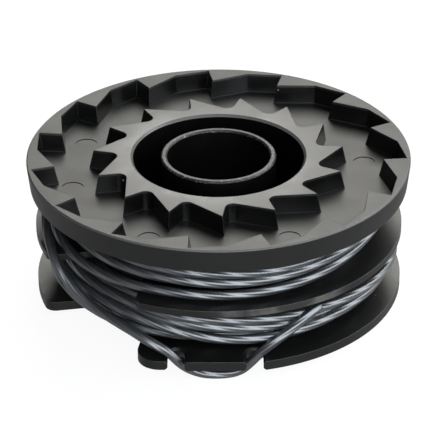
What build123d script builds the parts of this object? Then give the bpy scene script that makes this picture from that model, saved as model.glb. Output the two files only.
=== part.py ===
# Trimmer line spool: a moulded spool body holding two wound lengths of cutting line.
# Millimetres, Z up along the bore, origin on the axis at the foot of the hub collar.
# X runs to the right and Y away from the side where the upper line's end is parked.

import os
from math import cos, hypot, radians, sin, tan

from build123d import *

os.makedirs("parts", exist_ok=True)

# Walls from the axis outwards
bore_radius = 9.4
tube_wall = 1.1
groove_width = 5.1
hub_wall = 2.2

# Heights from the foot upwards
collar_height = 3.5
bottom_flange = 1.75
lower_chamber = 9.7
middle_flange = 1.25
upper_chamber = 8.55
top_flange = 4.4
floor_thickness = 0.8

# Flange outlines
rim_radius = 35.0
rim_draft = 0.5
rim_overhang = 1.35
edge_bevel = 0.25
groove_bevel = 0.4

# Twin ratchet rings in the top recess, with the draft of their walls in degrees
tooth_count = 15
rim_wall = 0.7
ring_tooth_height = 4.25
ring_kink_drop = 1.05
ring_kink_share = 0.49
ring_root_share = 0.955
ring_tip_angle = 20.0
ring_draft = 9.0
boss_root_margin = 0.05
boss_tooth_height = 5.05
boss_root_share = 0.117
boss_root_fillet = 1.5
boss_tip_angle = 7.6
boss_draft = 6.5

# Round ejector marks sunk in the floor between the rings
mark_circle = 27.0
mark_radius = 2.0
mark_depth = 0.12
mark_angles = (7.7, 155.7, 192.1, 243.0, 297.3)

# Windows in the two lower flanges that let the line pass down, one on each side, flaring outwards
window_tab_x = 15.45
middle_window_y = 14.6
bottom_window_y = 13.1
window_flare = 10.0
window_inner_radius = 25.0
window_corner = 2.0

# Parking slots in the bottom flange, the straight-edged tongue between them and the squarer tab beside them
slot_width = 3.0
left_slot_x = -7.65
right_slot_x = 6.3
slot_depth = 3.85
slot_lip = 0.45
tongue_cut = 0.75
tab_cut = 1.15
tab_corner = 4.0

# Cutting line and its windings
line_diameter = 1.65
turn_rows = 5
turn_crest = 0.7
turn_groove = 0.45
winding_margin = 4.0
winding_clearance = 0.15
lower_winding_gap = 1.0
anchor_hole = 2.0
anchor_angle = 60.0

# Levels and radii that follow from the driving dimensions
tube_radius = bore_radius + tube_wall
groove_radius = tube_radius + groove_width
hub_radius = groove_radius + hub_wall
bottom_flange_z = collar_height
lower_chamber_z = bottom_flange_z + bottom_flange
middle_flange_z = lower_chamber_z + lower_chamber
upper_chamber_z = middle_flange_z + middle_flange
top_flange_z = upper_chamber_z + upper_chamber
rim_z = top_flange_z + top_flange
recess_depth = top_flange - floor_thickness
flange_radius = rim_radius - rim_overhang
ring_root_radius = rim_radius - rim_wall
ring_kink_radius = ring_root_radius - ring_kink_drop
ring_tip_radius = ring_root_radius - ring_tooth_height
boss_root_radius = hub_radius + boss_root_margin
boss_tip_radius = boss_root_radius + boss_tooth_height
tooth_pitch = 360 / tooth_count
window_root = hub_radius / 2
window_slant = (flange_radius - window_root) * tan(radians(window_flare))
slot_end_y = flange_radius - slot_depth
tongue_reach = flange_radius - tongue_cut
tab_reach = flange_radius - tab_cut


def at_angle(radius, angle):
    return (radius * cos(radians(angle)), radius * sin(radians(angle)))


# Tooth outlines, each tooth running from its steep face to the next tip
ring_outline = []
boss_outline = []
for tooth in range(tooth_count):
    ring_tip = ring_tip_angle + tooth * tooth_pitch
    ring_outline.append(at_angle(ring_root_radius, ring_tip - ring_root_share * tooth_pitch))
    ring_outline.append(at_angle(ring_kink_radius, ring_tip - ring_kink_share * tooth_pitch))
    ring_outline.append(at_angle(ring_tip_radius, ring_tip))
    boss_tip = boss_tip_angle + tooth * tooth_pitch
    boss_outline.append(at_angle(boss_tip_radius, boss_tip))
    boss_outline.append(at_angle(boss_root_radius, boss_tip + boss_root_share * tooth_pitch))

# Spool body: bore tube, groove, hub, three flanges and the ratchet recess in one moulding
with BuildPart() as spool_body:
    with BuildSketch(Plane.XZ):
        with BuildLine():
            Polyline(
                (0, 0),
                (hub_radius, 0),
                (hub_radius, top_flange_z),
                (rim_radius - rim_draft, top_flange_z),
                (rim_radius, rim_z),
                (0, rim_z),
                close=True,
            )
        make_face()
    revolve(axis=Axis.Z)

    # Recess with the outer ratchet ring, then the toothed boss standing in it
    with BuildSketch(Plane.XY.offset(rim_z)):
        with BuildLine():
            Polyline(*ring_outline, close=True)
        make_face()
    extrude(amount=-recess_depth, taper=ring_draft, mode=Mode.SUBTRACT)
    with BuildSketch(Plane.XY.offset(rim_z)) as boss:
        with BuildLine():
            Polyline(*boss_outline, close=True)
        make_face()
        boss_roots = boss.vertices().filter_by(
            lambda corner: hypot(corner.X, corner.Y) < (boss_root_radius + boss_tip_radius) / 2
        )
        fillet(boss_roots, radius=boss_root_fillet)
    extrude(amount=-recess_depth, taper=-boss_draft)

    # Ejector marks on the floor of the recess
    with BuildSketch(Plane.XY.offset(rim_z - recess_depth)):
        with Locations(*[at_angle(mark_circle, angle) for angle in mark_angles]):
            Circle(mark_radius)
    extrude(amount=-mark_depth, mode=Mode.SUBTRACT)

    # Groove from above, collar pocket from below and the bore, leaving the tube on its web
    with BuildSketch(Plane.XY.offset(lower_chamber_z)):
        Circle(groove_radius)
        Circle(tube_radius, mode=Mode.SUBTRACT)
    extrude(amount=rim_z - lower_chamber_z, mode=Mode.SUBTRACT)
    with BuildSketch(Plane.XY):
        Circle(groove_radius)
        Circle(tube_radius, mode=Mode.SUBTRACT)
    extrude(amount=collar_height, mode=Mode.SUBTRACT)
    with BuildSketch(Plane.XY):
        Circle(bore_radius)
    extrude(amount=rim_z, mode=Mode.SUBTRACT)
    top_circles = spool_body.edges().filter_by(GeomType.CIRCLE).group_by(Axis.Z)[-1].sort_by(SortBy.RADIUS)
    chamfer(top_circles[-2], length=groove_bevel)
    chamfer((top_circles[-4], top_circles[-3], top_circles[-1]), length=edge_bevel)

    # Middle and bottom flanges, each with a window on either side; the bottom one has the squarer tabs
    flanges = (
        (bottom_flange_z, bottom_flange, bottom_window_y),
        (middle_flange_z, middle_flange, middle_window_y),
    )
    for flange_z, thickness, window_y in flanges:
        window = (
            (-flange_radius, -window_y),
            (-window_root, -window_y + window_slant),
            (-window_tab_x + window_slant, -window_root),
            (-window_tab_x, -flange_radius),
            (-flange_radius, -flange_radius),
        )
        with BuildSketch(Plane.XY.offset(flange_z)) as flange:
            Circle(flange_radius)
            with PolarLocations(0, 2):
                if flange_z == bottom_flange_z:
                    with Locations((left_slot_x, -tab_reach)):
                        Rectangle(window_tab_x, tab_reach, align=(Align.MAX, Align.MIN))
                Polygon(*window, mode=Mode.SUBTRACT)
            Circle(window_inner_radius)
            window_corners = flange.vertices().filter_by(lambda corner: abs(corner.Y) < tab_reach - slot_lip)
            fillet(window_corners, radius=window_corner)
            tab_corners = flange.vertices().filter_by(
                lambda corner: hypot(corner.X, corner.Y) > flange_radius + slot_lip
            )
            if tab_corners:
                fillet(tab_corners, radius=tab_corner)
            Circle(groove_radius, mode=Mode.SUBTRACT)
        extrude(amount=thickness)

    # Parking slots through the bottom flange, and the tongue between them cut straight
    with BuildSketch(Plane.XY.offset(bottom_flange_z)):
        with PolarLocations(0, 2):
            with Locations((left_slot_x, -slot_end_y), (right_slot_x, -slot_end_y)):
                Circle(slot_width / 2)
                Rectangle(slot_width, flange_radius, align=(Align.CENTER, Align.MAX))
            with Locations(((left_slot_x + right_slot_x) / 2, -tongue_reach)):
                Rectangle(right_slot_x - left_slot_x, flange_radius, align=(Align.CENTER, Align.MAX))
    extrude(amount=bottom_flange, mode=Mode.SUBTRACT)
    slot_edges = spool_body.edges().filter_by(Axis.Y).filter_by_position(
        Axis.Z, bottom_flange_z, lower_chamber_z
    )
    chamfer(slot_edges, length=slot_lip)

    # Anchor hole for the inner end of each line, through the hub wall
    for chamber_z, chamber in ((lower_chamber_z, lower_chamber), (upper_chamber_z, upper_chamber)):
        hole_x, hole_y = at_angle(groove_radius, anchor_angle)
        hole_plane = Plane((hole_x, hole_y, chamber_z + chamber / 2), z_dir=(hole_x, hole_y, 0))
        with BuildSketch(hole_plane):
            Circle(anchor_hole / 2)
        extrude(amount=hub_wall * 2, both=True, mode=Mode.SUBTRACT)
spool_body.part.label = "spool_body"
export_step(spool_body.part, "parts/spool_body.step")

# Windings: each a solid ring of turns, ridged where the outer turns lie side by side
winding_inner = hub_radius + winding_clearance
winding_outer = flange_radius - winding_margin
upper_fill = upper_chamber - 2 * winding_clearance
lower_fill = lower_chamber - lower_winding_gap - winding_clearance
windings = (
    ("upper_winding", upper_chamber_z + winding_clearance, upper_fill),
    ("lower_winding", lower_chamber_z + lower_winding_gap, lower_fill),
)
for winding_name, winding_z, fill_height in windings:
    turn_pitch = fill_height / turn_rows
    turn_outline = [(winding_inner, winding_z), (winding_outer - turn_groove, winding_z)]
    for row in range(turn_rows):
        turn_z = winding_z + (row + 0.5) * turn_pitch
        if row > 0:
            turn_outline.append((winding_outer - turn_groove, turn_z - turn_pitch / 2))
        turn_outline.append((winding_outer, turn_z - turn_crest / 2))
        turn_outline.append((winding_outer, turn_z + turn_crest / 2))
    turn_outline.append((winding_outer - turn_groove, winding_z + fill_height))
    turn_outline.append((winding_inner, winding_z + fill_height))
    with BuildPart() as winding:
        with BuildSketch(Plane.XZ):
            with BuildLine():
                Polyline(*turn_outline, close=True)
            make_face()
        revolve(axis=Axis.Z)
    winding.part.label = winding_name
    export_step(winding.part, f"parts/{winding_name}.step")

# Line ends: over the tab, down one slot, under the tongue and up the other to a bare cut
upper_lead = [
    (-30.6, 2.4, 21.55),
    (-31.5, -3.0, 20.75),
    (-31.4, -8.8, 19.35),
    (-30.3, -13.8, 17.75),
    (-28.9, -16.9, 15.45),
    (-26.9, -18.9, 13.25),
]
lower_lead = [
    (-28.5, -11.6, 12.55),
    (-26.7, -16.6, 12.0),
]
parking_route = [
    (-24.1, -21.2, 11.2),
    (-20.6, -24.1, 9.8),
    (-17.0, -27.2, 9.0),
    (-13.8, -29.7, 8.1),
    (-11.0, -31.3, 7.25),
    (-8.85, -31.4, 5.8),
    (-7.6, -30.7, 4.3),
    (-6.45, -29.8, 3.0),
    (-5.0, -29.3, 1.8),
    (-2.9, -29.2, 1.1),
    (-0.5, -29.3, 0.95),
    (2.0, -29.4, 1.15),
    (3.9, -29.5, 1.9),
    (5.2, -29.65, 3.1),
    (7.4, -30.1, 5.7),
    (9.7, -30.5, 7.9),
    (12.3, -29.7, 9.5),
    (14.8, -28.6, 11.1),
    (17.3, -27.4, 12.85),
]
arc_share = 0.45
upper_route = upper_lead + parking_route
lower_route = [(-x, -y, z) for x, y, z in lower_lead + parking_route]
for end_name, route in (("upper_line_end", upper_route), ("lower_line_end", lower_route)):
    points = [Vector(*point) for point in route]
    radii = []
    for before, corner, after in zip(points, points[1:], points[2:]):
        shorter_run = min((corner - before).length, (after - corner).length)
        turn = (corner - before).get_angle(after - corner)
        radii.append(arc_share * shorter_run / tan(radians(turn / 2)))
    print(end_name, "bend radii", [round(radius, 1) for radius in radii])
    with BuildPart() as line_end:
        with BuildLine() as path:
            FilletPolyline(*points, radius=radii)
        with BuildSketch(Plane(points[0], z_dir=points[1] - points[0])):
            Circle(line_diameter / 2)
        sweep(path=path.wires()[0])
    print(end_name, "length", round(path.wires()[0].length, 1), "volume", round(line_end.part.volume, 1))
    line_end.part.label = end_name
    export_step(line_end.part, f"parts/{end_name}.step")
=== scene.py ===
import math
import random

import bpy
import numpy as np
from mathutils import Matrix, Vector


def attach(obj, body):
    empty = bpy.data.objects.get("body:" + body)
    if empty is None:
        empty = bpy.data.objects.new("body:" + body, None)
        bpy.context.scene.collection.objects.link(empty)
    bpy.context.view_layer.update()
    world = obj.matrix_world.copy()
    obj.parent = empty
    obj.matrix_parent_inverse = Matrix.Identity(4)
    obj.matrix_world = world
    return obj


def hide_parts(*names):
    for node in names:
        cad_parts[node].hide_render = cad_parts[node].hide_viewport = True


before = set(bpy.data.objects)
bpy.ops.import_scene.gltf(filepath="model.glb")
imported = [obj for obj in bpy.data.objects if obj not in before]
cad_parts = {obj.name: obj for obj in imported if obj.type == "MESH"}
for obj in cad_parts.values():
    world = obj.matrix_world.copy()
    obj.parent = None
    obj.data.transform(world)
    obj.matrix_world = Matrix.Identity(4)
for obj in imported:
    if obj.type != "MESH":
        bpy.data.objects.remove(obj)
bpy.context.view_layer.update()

print("frame loaded:", sorted(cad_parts))


# Small helpers for node trees; a source is a value, or a node with the name of its output

nodeGrid = {"across": 230, "down": 330, "perRow": 10}


def addNode(tree, kind, **settings):
    row, column = divmod(len(tree.nodes), nodeGrid["perRow"])     # nodes stand in rows, as made
    made = tree.nodes.new(kind)
    made.location = (column * nodeGrid["across"], -row * nodeGrid["down"])
    for name, value in settings.items():
        setattr(made, name, value)
    return made


def feed(tree, made, entry, source):
    if isinstance(source, tuple) and isinstance(source[0], bpy.types.Node):
        node, output = source
        tree.links.new(node.outputs[output], made.inputs[entry])
    else:
        made.inputs[entry].default_value = source


def setInputs(tree, made, **sources):
    for name, source in sources.items():
        feed(tree, made, name.replace("_", " "), source)


def addMath(tree, operation, *sources, kind="ShaderNodeMath"):
    made = addNode(tree, kind, operation=operation)
    for entry, source in enumerate(sources):
        feed(tree, made, entry, source)
    return made, "Value"


def addShare(tree, base, mask, amount):
    return addMath(tree, "MULTIPLY_ADD", mask, amount, base)


def mapRange(tree, source, given=(0.0, 1.0), wanted=(0.0, 1.0), curve="LINEAR"):
    made = addNode(tree, "ShaderNodeMapRange", interpolation_type=curve)
    setInputs(tree, made, Value=source, From_Min=given[0], From_Max=given[1],
              To_Min=wanted[0], To_Max=wanted[1])
    return made, "Result"


def mixColour(tree, under, over, factor):
    made = addNode(tree, "ShaderNodeMix", data_type="RGBA")
    setInputs(tree, made, A=under, B=over, Factor=factor)
    return made, "Result"


def startNodes(holder, outputKind):
    holder.use_nodes = True
    holder.node_tree.nodes.clear()
    return holder.node_tree, addNode(holder.node_tree, outputKind)


def startMaterial(name):
    material = bpy.data.materials.new(name)
    tree, output = startNodes(material, "ShaderNodeOutputMaterial")
    shader = addNode(tree, "ShaderNodeBsdfPrincipled")
    setInputs(tree, output, Surface=(shader, "BSDF"))
    return material, tree, shader


def startGroup(name, inputs, outputs):
    tree = bpy.data.node_groups.new(name, "ShaderNodeTree")
    sockets, kind = tree.interface, "NodeSocketFloat"
    for label, value in inputs.items():
        sockets.new_socket(label, in_out="INPUT", socket_type=kind).default_value = value
    for label in outputs:
        sockets.new_socket(label, in_out="OUTPUT", socket_type=kind)
    return tree, addNode(tree, "NodeGroupInput"), addNode(tree, "NodeGroupOutput")


def useGroup(tree, group, **values):
    made = addNode(tree, "ShaderNodeGroup", node_tree=group)
    setInputs(tree, made, **values)
    return made


# Camera at the photograph's angle

cameraSettings = {
    "target": (0.0, 0.0, 0.02915),   # centre of the top rim
    "distance": 0.4885,
    "elevation": 28.183,
    "aimBelow": 1.36,                # the rim stands above the middle of the picture
    "aimLeft": 0.016,
    "roll": 0.247,
    "lens": 221.43,
    "sensor": 36.0,
    "clipStart": 0.01,
}


def placeCamera(settings):
    rise = math.radians(settings["elevation"])
    back = Vector((0.0, -math.cos(rise), math.sin(rise)))
    tilt = rise + math.radians(settings["aimBelow"])
    turn = math.radians(settings["aimLeft"])
    level = math.cos(turn) * math.cos(tilt)
    forward = Vector((-math.sin(turn), level, -math.sin(tilt))).normalized()
    right = forward.cross(Vector((0, 0, 1))).normalized()
    up = right.cross(forward)
    roll = math.radians(settings["roll"])
    cameraRight = math.cos(roll) * right - math.sin(roll) * up
    cameraUp = math.sin(roll) * right + math.cos(roll) * up
    data = bpy.data.cameras.new("photoCamera")
    data.lens = settings["lens"]
    data.sensor_width = settings["sensor"]
    data.clip_start = settings["clipStart"]
    camera = bpy.data.objects.new("photoCamera", data)
    turned = Matrix((cameraRight, cameraUp, -forward)).transposed().to_4x4()
    turned.translation = Vector(settings["target"]) + back * settings["distance"]
    camera.matrix_world = turned
    bpy.context.scene.collection.objects.link(camera)
    bpy.context.scene.camera = camera


placeCamera(cameraSettings)
print("camera placed")


# Cutting line: two lengths, each wound on its chamber and parked in the bottom flange's slots

lineSettings = {
    "diameter": 0.00165,
    "lobes": 6,
    "perLobe": 5,            # points round each lobe, the first in the groove
    "lobeShape": (0.90, 1.03, 1.055, 1.055, 1.03),
    "twistLength": 0.0420,   # length of one whole twist
    "fine": 6,               # steps between two control points
    "innerPoints": 12,       # control points in a turn, buried layers
    "outerPoints": 24,       # and in the turns that show
    "hubRadius": 0.0178,     # where the line leaves its anchor hole
    "outOfHub": ((16.6, 0.0), (18.4, 1.0), (18.9, 10.0)),     # millimetres out, degrees on
    "firstTurn": 30.0,       # degrees on from the hole
    "wander": 0.12,          # millimetres that buried turns stray in or out
    "sway": 0.10,            # and up or down
    "cutSlant": 0.45,
    "cutTurn": 0.6,          # which way the cut slants, in radians
}

# in through one slot of the bottom flange, under its tongue and out of the other
parkingRoute = [
    (-0.02410, -0.02120, 0.01120),
    (-0.02060, -0.02410, 0.01005),
    (-0.01700, -0.02720, 0.00945),
    (-0.01380, -0.02960, 0.00860),
    (-0.01100, -0.03110, 0.00760),
    (-0.00885, -0.03095, 0.00610),
    (-0.00760, -0.03070, 0.00445),
    (-0.00645, -0.03020, 0.00300),
    (-0.00500, -0.02990, 0.00180),
    (-0.00290, -0.02995, 0.00112),
    (-0.00050, -0.03000, 0.00098),
    (0.00200, -0.03005, 0.00115),
    (0.00390, -0.03005, 0.00190),
    (0.00520, -0.03005, 0.00310),
    (0.00730, -0.03040, 0.00570),
    (0.00960, -0.03050, 0.00795),
    (0.01220, -0.02970, 0.00965),
    (0.01480, -0.02860, 0.01140),
    (0.01760, -0.02730, 0.01345),
]

upperLine = {
    "name": "upper_cutting_line",
    "replaces": ("upper_winding", "upper_line_end"),
    "anchor": (60.0, 0.020475),     # the hole's place: degrees round the axis, and height
    "layers": (18.75, 20.25, 21.75, 23.25, 24.75, 26.25),     # radii in millimetres
    "rows": 5,                      # turns in each layer
    "low": 17.15,                   # a layer runs between these heights, in millimetres
    "high": 23.8,
    "seed": 11,
    # turns that show, one list each: degrees round the axis, millimetres from it, and height
    "shown": [
        [(-180, 27.2, 23.8), (-90, 28.4, 23.75), (0, 27.8, 23.8), (90, 27.8, 23.8)],
        [(-180, 28.4, 23.75), (-120, 29.2, 23.5), (-60, 29.5, 23.4), (0, 28.6, 23.7),
         (90, 28.5, 23.3)],
        [(-180, 28.4, 22.4), (-145, 28.6, 22.1), (-107, 29.9, 21.7), (-90, 29.9, 21.6),
         (-75, 29.9, 21.3), (-60, 29.8, 21.6), (-50, 29.5, 22.1), (-35, 28.9, 22.5),
         (0, 28.2, 22.3), (60, 28.2, 21.8), (120, 28.2, 21.2)],
        [(-180, 28.6, 20.6), (-150, 28.8, 20.1), (-128, 29.6, 20.0), (-100, 30.0, 20.0),
         (-90, 30.0, 19.65), (-72, 30.0, 19.75), (-59, 30.15, 20.35), (-52, 30.3, 21.0),
         (-45, 30.35, 21.25), (-38, 30.4, 21.8), (-25, 30.0, 21.5), (-10, 29.7, 20.9),
         (30, 29.6, 20.3), (90, 29.6, 19.6), (150, 29.7, 19.0)],
        [(-180, 30.2, 18.7), (-157, 30.7, 17.95), (-135, 30.5, 17.2), (-111, 30.2, 17.5),
         (-100, 30.2, 17.45), (-86, 30.2, 17.28), (-81, 30.2, 17.33), (-72, 30.2, 17.62),
         (-61, 30.25, 18.0), (-55, 30.3, 18.45), (-49, 30.35, 18.95), (-42, 30.5, 19.45),
         (-36, 30.7, 20.15), (-31, 31.0, 21.3), (-26, 31.3, 22.6), (-18, 31.5, 23.3),
         (-5, 31.6, 23.2), (60, 31.4, 22.6), (120, 31.2, 22.1), (155, 30.9, 21.8)],
    ],
    "leadOff": [      # from the last turn down to the slots
        (-0.0306, 0.0024, 0.02155),
        (-0.0315, -0.0030, 0.02075),
        (-0.0314, -0.0088, 0.01935),
        (-0.0303, -0.0138, 0.01775),
        (-0.0289, -0.0169, 0.01545),
        (-0.0269, -0.0189, 0.01325),
    ],
    "parking": parkingRoute,
}

lowerLine = {
    "name": "lower_cutting_line",
    "replaces": ("lower_winding", "lower_line_end"),
    "anchor": (60.0, 0.0101),
    "layers": (18.75, 20.25, 21.75, 23.25, 24.75, 26.25),
    "rows": 5,
    "low": 6.35,
    "high": 13.95,
    "seed": 23,
    "shown": [
        [(-180, 27.0, 13.9), (-90, 28.4, 13.9), (0, 28.2, 13.8), (90, 28.2, 13.2)],
        [(-180, 28.4, 12.0), (-150, 28.8, 11.6), (-120, 29.3, 11.5), (-107, 29.8, 11.3),
         (-100, 30.2, 11.2), (-95, 30.2, 11.1), (-90, 30.2, 10.85), (-81, 30.2, 10.4),
         (-71, 30.2, 10.05), (-60, 29.8, 9.9), (-50, 29.4, 9.8), (-30, 29.3, 9.8),
         (0, 29.2, 9.8), (90, 28.9, 9.9), (150, 29.6, 10.2)],
        [(-180, 30.4, 10.3), (-158, 31.0, 9.8), (-144, 30.8, 9.6), (-131, 30.5, 8.7),
         (-122, 30.0, 8.4), (-112, 29.4, 8.3), (-98, 29.0, 8.3), (-85, 28.6, 8.4),
         (-60, 28.6, 8.0), (0, 28.8, 7.6), (90, 29.0, 7.6), (120, 29.2, 8.6),
         (150, 29.6, 9.8)],
        [(-180, 29.8, 11.0), (-150, 30.0, 11.6), (-135, 30.3, 11.75), (-121, 30.5, 11.35),
         (-107, 30.4, 10.0), (-100, 30.2, 9.1), (-95, 30.2, 8.77), (-91, 30.2, 8.4),
         (-86, 30.2, 8.1), (-80, 30.2, 7.93), (-76, 30.2, 8.03), (-60, 30.6, 8.5),
         (-53, 30.8, 8.75), (-48, 30.8, 9.05), (-42, 30.9, 9.35), (-30, 31.4, 10.0),
         (-20, 31.4, 10.3), (0, 30.8, 10.3), (20, 30.2, 10.2), (40, 29.6, 10.2),
         (60, 29.5, 10.4), (90, 29.6, 11.2), (120, 29.4, 12.0), (150, 28.9, 12.9)],
        [(-180, 28.7, 13.6), (-150, 29.0, 13.3), (-120, 29.5, 12.9), (-107, 30.0, 12.5),
         (-100, 30.2, 12.4), (-90, 30.2, 12.4), (-81, 30.2, 12.0), (-71, 30.2, 11.72),
         (-66, 30.4, 11.65), (-60, 30.8, 11.8), (-52, 31.2, 11.75), (-44, 31.5, 11.8),
         (-31, 32.0, 11.75), (-18, 32.4, 11.6), (-6, 32.3, 11.8), (8, 31.6, 12.3)],
    ],
    "leadOff": [
        (0.0285, 0.0116, 0.01255),
        (0.0267, 0.0166, 0.01200),
    ],
    "parking": [(-x, -y, z) for x, y, z in parkingRoute],
}


perMetre = 1000     # millimetres


def atAngle(degrees, reach):
    angle = math.radians(degrees)
    return reach * math.cos(angle) / perMetre, reach * math.sin(angle) / perMetre


def onTurn(degrees, radius, height, perTurn):
    # a control point of a smooth turn stands a little outside the turn itself
    reach = radius / math.cos(math.pi / perTurn)
    return (*atAngle(degrees, reach), height / perMetre)


def leaveHub(line, settings):
    anchorAngle, anchorHeight = line["anchor"]
    return [(*atAngle(anchorAngle + turned, reach), anchorHeight)
            for reach, turned in settings["outOfHub"]]


def windBuried(line, settings):
    # each layer runs back over the one below
    dice = random.Random(line["seed"])
    anchorAngle, anchorHeight = line["anchor"]
    low, high = line["low"], line["high"]
    wander, sway = settings["wander"], settings["sway"]
    perTurn = settings["innerPoints"]
    steps = line["rows"] * perTurn
    degrees = anchorAngle + settings["firstTurn"]
    stopAt = line["shown"][0][0][0]
    lastLayer = len(line["layers"]) - 1
    points = []
    for number, radius in enumerate(line["layers"]):
        upwards = number % 2 == 1
        for step in range(steps):
            lastTurn = number == lastLayer and step > steps - perTurn
            if lastTurn and (degrees - stopAt) % 360 < 1:     # the shown turns go on from here
                break
            share = step / steps
            height = low + (high - low) * (share if upwards else 1 - share)
            if number == 0 and step < perTurn:                # the first starts at the hole
                height += (anchorHeight * perMetre - height) * (1 - step / perTurn)
            strayed = radius + dice.uniform(-wander, wander)
            points.append(onTurn(degrees, strayed, height + dice.uniform(-sway, sway), perTurn))
            degrees += 360 / perTurn
    return points


def windShown(line, settings):
    perTurn = settings["outerPoints"]
    stops = []
    for number, turn in enumerate(line["shown"]):
        stops += [(angle + 360 * number, radius, height) for angle, radius, height in turn]
    leadX, leadY, leadZ = line["leadOff"][0]
    leadAngle = math.degrees(math.atan2(leadY, leadX)) + 360 * (len(line["shown"]) - 1)
    stops.append((leadAngle, math.hypot(leadX, leadY) * perMetre, leadZ * perMetre))
    angles, radii, heights = zip(*stops)
    points = []
    for step in range(int((leadAngle - angles[0]) * perTurn / 360) + 1):
        angle = angles[0] + step * 360 / perTurn
        if leadAngle - angle < 180 / perTurn:
            break
        radius, height = np.interp(angle, angles, radii), np.interp(angle, angles, heights)
        points.append(onTurn(angle, radius, height, perTurn))
    return points


def windLine(line, settings):
    wound = leaveHub(line, settings) + windBuried(line, settings) + windShown(line, settings)
    return wound + line["leadOff"] + line["parking"]


def smoothLine(name, points, fine):
    data = bpy.data.curves.new(name + "_route", "CURVE")
    data.dimensions = "3D"
    data.resolution_u = fine
    spline = data.splines.new("NURBS")
    spline.points.add(len(points) - 1)
    for target, point in zip(spline.points, points):
        target.co = (*point, 1.0)
    spline.order_u = 3
    spline.use_endpoint_u = True
    holder = bpy.data.objects.new(name + "_route", data)
    mesh = bpy.data.meshes.new_from_object(holder)
    places = np.array([vertex.co for vertex in mesh.vertices], float)
    bpy.data.meshes.remove(mesh)
    bpy.data.objects.remove(holder)
    bpy.data.curves.remove(data)
    return places


def twistedRings(places, along, settings):
    radius = settings["diameter"] / 2
    tangents = np.gradient(places, axis=0)
    tangents /= np.linalg.norm(tangents, axis=1)[:, None]
    count = settings["lobes"] * settings["perLobe"]
    around = np.arange(count) * 2 * math.pi / count
    swell = radius * np.tile(settings["lobeShape"], settings["lobes"])
    rings, side = [], np.array((0.0, 0.0, 1.0))
    for place, tangent, distance in zip(places, tangents, along):
        side = side - tangent * side.dot(tangent)
        side /= np.linalg.norm(side)
        other = np.cross(tangent, side)
        # the grooves wind round the line
        turned = around + 2 * math.pi * distance / settings["twistLength"]
        across, upright = (swell * np.cos(turned))[:, None], (swell * np.sin(turned))[:, None]
        rings.append(place + across * side + upright * other)
    # the last ring is cut at a slant
    slant = np.sin(turned + settings["cutTurn"])[:, None]
    rings[-1] = rings[-1] + tangent * settings["cutSlant"] * radius * slant
    return rings


def twistedTube(name, places, settings):
    along = np.concatenate([[0], np.cumsum(np.linalg.norm(np.diff(places, axis=0), axis=1))])
    rings = twistedRings(places, along, settings)
    count = len(rings[0])
    faces = []
    for number in range(len(rings) - 1):
        low, high = number * count, (number + 1) * count
        for step in range(count):
            following = (step + 1) % count
            faces.append((low + step, low + following, high + following, high + step))
    last = (len(rings) - 1) * count
    faces += [tuple(range(count))[::-1], tuple(range(last, last + count))]
    mesh = bpy.data.meshes.new(name)
    mesh.from_pydata(np.concatenate(rings).tolist(), [], faces)
    mesh.shade_smooth()
    for face in mesh.polygons[-2:]:      # the two cut ends
        face.use_smooth = False
        face.material_index = 1
    mesh.update()
    piece = bpy.data.objects.new(name, mesh)
    bpy.context.scene.collection.objects.link(piece)
    return piece, float(along[-1])


def makeLine(line, settings):
    places = smoothLine(line["name"], windLine(line, settings), settings["fine"])
    piece, length = twistedTube(line["name"], places, settings)
    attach(piece, "root")
    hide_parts(*line["replaces"])
    print(line["name"], "length", round(length, 3), "m,", len(piece.data.polygons), "faces")
    return piece


upperPiece = makeLine(upperLine, lineSettings)
lowerPiece = makeLine(lowerLine, lineSettings)
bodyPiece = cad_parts["spool_body"]


# Shared surface effects

grainSettings = {
    "Grain": {"Detail": 6.0, "Roughness": 0.65},
    "Cloud": {"Detail": 4.0, "Roughness": 0.55},
}


def makeGrainGroup(settings):
    scales = {"Grain Scale": 900.0, "Cloud Scale": 120.0}
    tree, entry, leave = startGroup("fineGrain", scales, settings)
    place = addNode(tree, "ShaderNodeTexCoord")
    for output, look in settings.items():
        noise = addNode(tree, "ShaderNodeTexNoise")
        setInputs(tree, noise, Vector=(place, "Object"), Scale=(entry, output + " Scale"), **look)
        feed(tree, leave, output, (noise, "Fac"))
    return tree


def makeZoneGroup():
    limits = {"Low": 0.0, "High": 0.0, "Inside": 0.0, "Outside": 1.0}
    tree, entry, leave = startGroup("heightZone", limits, ("Mask", "Reach", "Angle"))
    place = addNode(tree, "ShaderNodeTexCoord")
    split = addNode(tree, "ShaderNodeSeparateXYZ")
    feed(tree, split, "Vector", (place, "Object"))
    flat = addNode(tree, "ShaderNodeCombineXYZ")
    setInputs(tree, flat, X=(split, "X"), Y=(split, "Y"))
    reach = addMath(tree, "LENGTH", (flat, "Vector"), kind="ShaderNodeVectorMath")
    angle = addMath(tree, "ARCTAN2", (split, "Y"), (split, "X"))
    mask = addMath(tree, "GREATER_THAN", (split, "Z"), (entry, "Low"))
    for source, limit, test in (((split, "Z"), "High", "LESS_THAN"),
                                (reach, "Inside", "GREATER_THAN"),
                                (reach, "Outside", "LESS_THAN")):
        within = addMath(tree, test, source, (entry, limit))
        mask = addMath(tree, "MULTIPLY", mask, within)
    setInputs(tree, leave, Mask=mask, Reach=reach, Angle=angle)
    return tree


def makeDustGroup():
    specks = {"Scale": 350.0, "Size": 0.05, "Share": 0.06}
    tree, entry, leave = startGroup("dustSpecks", specks, ("Mask",))
    place = addNode(tree, "ShaderNodeTexCoord")
    cells = addNode(tree, "ShaderNodeTexVoronoi")
    setInputs(tree, cells, Vector=(place, "Object"), Scale=(entry, "Scale"))
    split = addNode(tree, "ShaderNodeSeparateColor")
    feed(tree, split, "Color", (cells, "Color"))
    near = addMath(tree, "LESS_THAN", (cells, "Distance"), (entry, "Size"))
    chosen = addMath(tree, "LESS_THAN", (split, "Red"), (entry, "Share"))
    feed(tree, leave, "Mask", addMath(tree, "MULTIPLY", near, chosen))
    return tree


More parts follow.
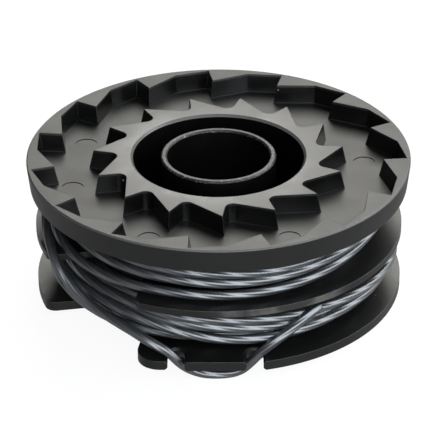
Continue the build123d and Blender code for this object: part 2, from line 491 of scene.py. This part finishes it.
grainGroup = makeGrainGroup(grainSettings)
zoneGroup = makeZoneGroup()
dustGroup = makeDustGroup()


# Plastic of the moulding

plasticSettings = {
    "dark": (0.0010, 0.0010, 0.0010, 1.0),
    "light": (0.0028, 0.0028, 0.0028, 1.0),
    "wornEdgeHighlight": (0.045, 0.045, 0.043, 1.0),          # edges all over: wear, lightened further as a painted highlight
    "paleEdgeTone": (0.085, 0.085, 0.078, 1.0),       # edge of the middle flange
    "burrGlint": (0.30, 0.30, 0.29, 1.0),             # rim of the tube: its burrs, lightened into painted glints
    "rimEdgeHighlight": (0.055, 0.055, 0.053, 1.0),        # painted highlight on the outer edge of the top rim
    "grooveEdgeHighlight": (0.075, 0.075, 0.072, 1.0),     # painted highlight on the edge of the groove
    "dust": (0.30, 0.30, 0.29, 1.0),
    "dustScale": 350.0,
    "dustSize": 0.055,
    "dustShare": 0.05,
    "grainScale": 2600.0,
    "cloudScale": 160.0,
    "roughness": (0.38, 0.52),
    "polishedBy": 0.15,              # the boss top is smoother, most of all beside the groove
    "polishReach": (0.0220, 0.0160),     # from its teeth in to the groove
    "polishShare": (0.45, 1.1),
    "hazeRange": (0.36, 0.64),       # its polish is patchy
    "hazeShare": (0.65, 1.35),
    "roughenedBy": 0.03,             # the recess floor is a little rougher
    "smoothedBy": 0.05,              # the two lower flanges are glossier
    "glazedBy": 0.24,                # and so are the walls of the recess, the groove and the bore
    "edgeRadius": 0.00014,
    "edgeSamples": 6,
    "edgeHighlightTurn": (0.99, 0.78),        # cosines between which the wear and its painted highlight set in
    "wearMost": 0.7,
    "paleEdgeMiddle": -1.25,            # the lighter patches lie round one side, in radians
    "paleEdgeReach": (0.24, 0.46),
    "paleEdgeRange": (0.40, 0.58),
    "paleEdgeShare": (0.15, 0.75),
    "burrGlintRange": (0.55, 0.72),
    "grainHeight": 0.00003,
    "grainStrength": 0.35,
    "partingAngle": -0.7770,         # where a parting line crosses the rim, in radians
    "partingWidth": 0.0045,
    "partingDepth": 6.0,
    "partingRough": 0.5,
    # zones of the moulding: lowest, highest, nearest to the axis, farthest from it
    "zones": {
        "bossTop": (0.0288, 0.0300, 0.0145, 0.0235),
        "recessFloor": (0.0253, 0.0258, 0.0170, 0.0345),
        "recessWalls": (0.0258, 0.02875, 0.0, 0.0345),
        "recessCorner": (0.0250, 0.0261, 0.0157, 0.0345),
        "deepWalls": (-0.001, 0.0258, 0.0, 0.0157),
        "grooveHighlightBand": (0.02876, 0.02912, 0.0155, 0.0161),
        "tubeRim": (0.0287, 0.0300, 0.0090, 0.0108),
        "rimWall": (0.0273, 0.0288, 0.0340, 0.0360),
        "rimHighlightBand": (0.02882, 0.0300, 0.03465, 0.0360),
        "flangeSide": (0.0149, 0.0163, 0.0335, 0.0350),
        "lowFlanges": (0.0030, 0.0164, 0.0180, 0.0400),
    },
}


def edgeRoundingAndHighlight(tree, masks, settings):
    # worn edges, lightened also as painted edge highlights, though not in the corners round the
    # recess floor
    edge = addNode(tree, "ShaderNodeBevel", samples=settings["edgeSamples"])
    setInputs(tree, edge, Radius=settings["edgeRadius"])
    facing = addNode(tree, "ShaderNodeNewGeometry")
    eased = addNode(tree, "ShaderNodeMix", data_type="VECTOR")
    setInputs(tree, eased, A=(edge, "Normal"), B=(facing, "Normal"), Factor=masks["recessCorner"])
    normal = (eased, "Result")
    meet = addMath(tree, "DOT_PRODUCT", normal, (facing, "Normal"), kind="ShaderNodeVectorMath")
    return normal, mapRange(tree, meet, settings["edgeHighlightTurn"], (0.0, settings["wearMost"]))


def colourPlastic(tree, grain, masks, angle, wear, settings):
    cloud = (grain, "Cloud")
    colour = mixColour(tree, settings["dark"], settings["light"], cloud)
    # edges made lighter: wear, and painted edge highlights
    colour = mixColour(tree, colour, settings["wornEdgeHighlight"], wear)
    # the middle flange's edge is lighter in patches, along one stretch of it
    patches = mapRange(tree, cloud, settings["paleEdgeRange"], settings["paleEdgeShare"], "SMOOTHSTEP")
    onEdge = addMath(tree, "MULTIPLY", patches, masks["flangeSide"])
    away = addMath(tree, "ABSOLUTE", addMath(tree, "SUBTRACT", angle, settings["paleEdgeMiddle"]))
    stretch = mapRange(tree, away, settings["paleEdgeReach"], (1.0, 0.0), "SMOOTHSTEP")
    paleEdgePatches = addMath(tree, "MULTIPLY", onEdge, stretch)
    colour = mixColour(tree, colour, settings["paleEdgeTone"], paleEdgePatches)
    # the tube's rim is left rough by the mould; pale flecks on it are painted glints of its burrs
    glintFlecks = mapRange(tree, (grain, "Grain"), settings["burrGlintRange"], curve="SMOOTHSTEP")
    burrGlints = addMath(tree, "MULTIPLY", glintFlecks, masks["tubeRim"])
    colour = mixColour(tree, colour, settings["burrGlint"], burrGlints)
    # painted highlight along the top rim's outer edge chamfer
    colour = mixColour(tree, colour, settings["rimEdgeHighlight"], masks["rimHighlightBand"])
    # painted highlight on the groove's edge chamfer
    colour = mixColour(tree, colour, settings["grooveEdgeHighlight"], masks["grooveHighlightBand"])
    dust = useGroup(tree, dustGroup, Scale=settings["dustScale"], Size=settings["dustSize"],
                    Share=settings["dustShare"])
    return mixColour(tree, colour, settings["dust"], (dust, "Mask"))


def roughenPlastic(tree, grain, masks, reach, line, settings):
    cloud = (grain, "Cloud")
    inner = mapRange(tree, reach, settings["polishReach"], settings["polishShare"])
    haze = mapRange(tree, cloud, settings["hazeRange"], settings["hazeShare"], "SMOOTHSTEP")
    polish = addMath(tree, "MULTIPLY", addMath(tree, "MULTIPLY", masks["bossTop"], inner), haze)
    walls = addMath(tree, "MAXIMUM", masks["recessWalls"], masks["deepWalls"])
    rough = mapRange(tree, cloud, wanted=settings["roughness"])
    rough = addShare(tree, rough, polish, -settings["polishedBy"])
    rough = addShare(tree, rough, masks["recessFloor"], settings["roughenedBy"])
    rough = addShare(tree, rough, masks["lowFlanges"], -settings["smoothedBy"])
    rough = addShare(tree, rough, walls, -settings["glazedBy"])
    return addShare(tree, rough, line, settings["partingRough"])


def makeSpoolPlastic(settings):
    material, tree, shader = startMaterial("spoolPlastic")
    grain = useGroup(tree, grainGroup, Grain_Scale=settings["grainScale"],
                     Cloud_Scale=settings["cloudScale"])
    masks = {}
    for name, (low, high, inside, outside) in settings["zones"].items():
        zone = useGroup(tree, zoneGroup, Low=low, High=high, Inside=inside, Outside=outside)
        masks[name] = (zone, "Mask")
    reach, angle = (zone, "Reach"), (zone, "Angle")      # the same in every zone
    crossing = addMath(tree, "COMPARE", angle, settings["partingAngle"], settings["partingWidth"])
    line = addMath(tree, "MULTIPLY", crossing, masks["rimWall"])
    normal, wear = edgeRoundingAndHighlight(tree, masks, settings)
    bump = addNode(tree, "ShaderNodeBump")
    height = addShare(tree, (grain, "Grain"), line, -settings["partingDepth"])
    setInputs(tree, bump, Strength=settings["grainStrength"], Distance=settings["grainHeight"],
              Height=height, Normal=normal)
    setInputs(tree, shader, Normal=(bump, "Normal"),
              Base_Color=colourPlastic(tree, grain, masks, angle, wear, settings),
              Roughness=roughenPlastic(tree, grain, masks, reach, line, settings))
    return material


# Nylon of the line, and its pale cut ends

nylonSettings = {
    "dark": (0.0050, 0.0052, 0.0056, 1.0),
    "light": (0.018, 0.0188, 0.0205, 1.0),
    "grainScale": 1800.0,
    "cloudScale": 220.0,
    "grainHeight": 0.00003,
    "grainStrength": 0.25,
    "glassIndex": 1.66,
    "shineTint": (0.88, 0.94, 1.0, 1.0),
    "roughness": 0.40,
    "shine": 1.0,
    "coat": 1.0,
    "coatRoughness": 0.36,
    "cutColour": (0.26, 0.27, 0.29, 1.0),
    "cutRoughness": 0.5,
}


def makeLineNylon(settings):
    material, tree, shader = startMaterial("lineNylon")
    grain = useGroup(tree, grainGroup, Grain_Scale=settings["grainScale"],
                     Cloud_Scale=settings["cloudScale"])
    tone = mixColour(tree, settings["dark"], settings["light"], (grain, "Cloud"))
    bump = addNode(tree, "ShaderNodeBump")
    setInputs(tree, bump, Strength=settings["grainStrength"], Distance=settings["grainHeight"],
              Height=(grain, "Grain"))
    setInputs(tree, shader, Base_Color=tone, Normal=(bump, "Normal"),
              Roughness=settings["roughness"], IOR=settings["glassIndex"],
              Specular_IOR_Level=settings["shine"], Specular_Tint=settings["shineTint"],
              Coat_Weight=settings["coat"], Coat_Roughness=settings["coatRoughness"])
    return material


def makeLineCut(settings):
    material, tree, shader = startMaterial("lineCut")
    setInputs(tree, shader, Base_Color=settings["cutColour"], Roughness=settings["cutRoughness"])
    return material


def dress(piece, *materials):
    piece.data.materials.clear()
    for material in materials:
        piece.data.materials.append(material)


dress(bodyPiece, makeSpoolPlastic(plasticSettings))
lineNylon, lineCut = makeLineNylon(nylonSettings), makeLineCut(nylonSettings)
dress(upperPiece, lineNylon, lineCut)
dress(lowerPiece, lineNylon, lineCut)
print("materials made")


# Floor and light

stageSettings = {
    "floorSize": 4.0,
    "floorColour": (0.09, 0.09, 0.09, 1.0),
    "floorLift": 0.92,                     # what the camera adds to the floor to see it white
    "floorShine": 0.32,                    # and what reflections add
    "shadeCentre": (-0.0008, -0.0211),     # the lift fades out under the front tongue
    "shadeHalf": (0.0062, 0.0035),
    "shadeSoft": 0.0006,
    "skyGlow": 0.04,                       # even light from all round
    "skyShine": (0.10, 0.02),              # what reflections add near the horizon and overhead
    "skyRise": (0.10, 0.6),                # how high it changes from one to the other
    "lamps": {
        "backSoftbox": {
            "place": (0.45, 1.15, 1.20), "target": (0.0, 0.0, 0.02),
            "size": (1.8, 1.1), "power": 39.0, "colour": (1.0, 0.99, 0.94),
        },
        "frontPanel": {
            "place": (0.260, -0.797, 0.380), "target": (0.0, 0.0, 0.01),
            "size": (1.6, 0.90), "power": 21.0, "colour": (0.92, 0.96, 1.0),
        },
        "rightPanel": {
            "place": (0.84, 0.0, 0.40), "target": (0.0, 0.0, 0.01),
            "size": (0.8, 0.7), "power": 7.0, "colour": (0.94, 0.97, 1.0),
        },
    },
}


def makeFloorPaper(settings):
    material = bpy.data.materials.new("floorPaper")
    tree, output = startNodes(material, "ShaderNodeOutputMaterial")
    spot = addNode(tree, "ShaderNodeTexCoord")
    split = addNode(tree, "ShaderNodeSeparateXYZ")
    feed(tree, split, "Vector", (spot, "Object"))
    lifts = []
    for axis, centre, half in zip("XY", settings["shadeCentre"], settings["shadeHalf"]):
        away = addMath(tree, "ABSOLUTE", addMath(tree, "SUBTRACT", (split, axis), centre))
        ends = (half, half + settings["shadeSoft"])
        lifts.append(mapRange(tree, away, ends, (0.0, settings["floorLift"]), "SMOOTHSTEP"))
    ray = addNode(tree, "ShaderNodeLightPath")
    shine = addMath(tree, "MULTIPLY", (ray, "Is Glossy Ray"), settings["floorShine"])
    seen = addMath(tree, "MAXIMUM", *lifts)
    strength = addMath(tree, "MULTIPLY_ADD", (ray, "Is Camera Ray"), seen, shine)
    glow = addNode(tree, "ShaderNodeEmission")
    setInputs(tree, glow, Strength=strength)
    paper = addNode(tree, "ShaderNodeBsdfDiffuse")
    setInputs(tree, paper, Color=settings["floorColour"])
    both = addNode(tree, "ShaderNodeAddShader")
    feed(tree, both, 0, (paper, "BSDF"))
    feed(tree, both, 1, (glow, "Emission"))
    setInputs(tree, output, Surface=(both, "Shader"))
    return material


def makeFloor(settings):
    half = settings["floorSize"] / 2
    corners = [(-half, -half, 0), (half, -half, 0), (half, half, 0), (-half, half, 0)]
    mesh = bpy.data.meshes.new("studioFloor")
    mesh.from_pydata(corners, [], [(0, 1, 2, 3)])
    mesh.materials.append(makeFloorPaper(settings))
    floor = bpy.data.objects.new("studioFloor", mesh)
    bpy.context.scene.collection.objects.link(floor)


def makeSky(settings):
    world = bpy.data.worlds.new("studioWorld")
    bpy.context.scene.world = world
    tree, output = startNodes(world, "ShaderNodeOutputWorld")
    look = addNode(tree, "ShaderNodeTexCoord")
    split = addNode(tree, "ShaderNodeSeparateXYZ")
    feed(tree, split, "Vector", (look, "Generated"))
    shine = mapRange(tree, (split, "Z"), settings["skyRise"], settings["skyShine"], "SMOOTHSTEP")
    ray = addNode(tree, "ShaderNodeLightPath")
    sky = addNode(tree, "ShaderNodeBackground")
    strength = addMath(tree, "MULTIPLY_ADD", shine, (ray, "Is Glossy Ray"), settings["skyGlow"])
    setInputs(tree, sky, Strength=strength)
    setInputs(tree, output, Surface=(sky, "Background"))


def makeLamps(settings):
    for name, given in settings["lamps"].items():
        lamp = bpy.data.lights.new(name, "AREA")
        lamp.shape = "RECTANGLE"
        lamp.size, lamp.size_y = given["size"]
        lamp.energy = given["power"]
        lamp.color = given["colour"]
        holder = bpy.data.objects.new(name, lamp)
        holder.location = given["place"]
        aim = Vector(given["target"]) - Vector(given["place"])
        holder.rotation_euler = aim.to_track_quat("-Z", "Y").to_euler()
        bpy.context.scene.collection.objects.link(holder)


makeFloor(stageSettings)
makeSky(stageSettings)
makeLamps(stageSettings)
bpy.context.scene.view_settings.view_transform = "Standard"
print("stage and light made")
